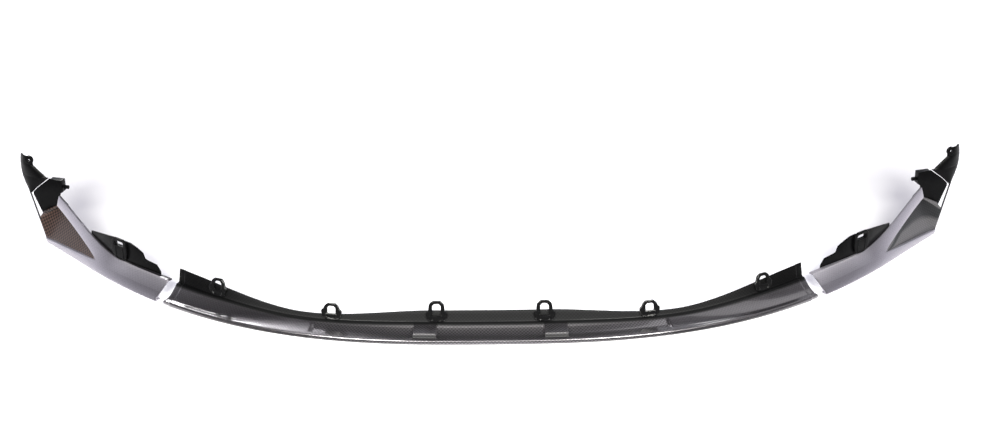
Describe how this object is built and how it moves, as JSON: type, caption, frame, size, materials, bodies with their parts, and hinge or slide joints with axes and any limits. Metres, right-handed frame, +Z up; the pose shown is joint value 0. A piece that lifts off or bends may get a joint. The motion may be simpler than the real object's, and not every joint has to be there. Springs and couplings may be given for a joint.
{
  "type": "front splitter lip",
  "caption": "Low front splitter lip for a car bumper: a carbon-fibre centre lip and two mirror-image corner pieces with black plastic brackets, laid out in fitted order",
  "frame": {"origin": "on the ground, under the middle of the whole set's bounding box", "axes": "+X to the right seen from the front (the long way), -Y forward to the nose, +Y back towards the car, +Z up"},
  "size_m": [1.8352, 0.4858, 0.1715],
  "materials": {
    "carbon": "clear-coated twill carbon fibre",
    "black_plastic": "satin black moulded plastic",
    "ear_plastic": "satin black moulded plastic with soft highlights"
  },
  "bodies": {
    "root": {"centre_lip": "carbon", "left_inner_ear": "ear_plastic", "left_outer_ear": "ear_plastic", "left_end_ear": "ear_plastic", "left_corner_skin": "carbon", "left_flange_bracket": "black_plastic", "left_bracket_ear": "ear_plastic", "left_mount_block": "black_plastic", "left_winglet": "black_plastic", "left_locating_peg": "black_plastic", "right_inner_ear": "ear_plastic", "right_outer_ear": "ear_plastic", "right_end_ear": "ear_plastic", "right_corner_skin": "carbon", "right_flange_bracket": "black_plastic", "right_bracket_ear": "ear_plastic", "right_mount_block": "black_plastic", "right_winglet": "black_plastic", "right_locating_peg": "black_plastic"}
  },
  "joints": []
}
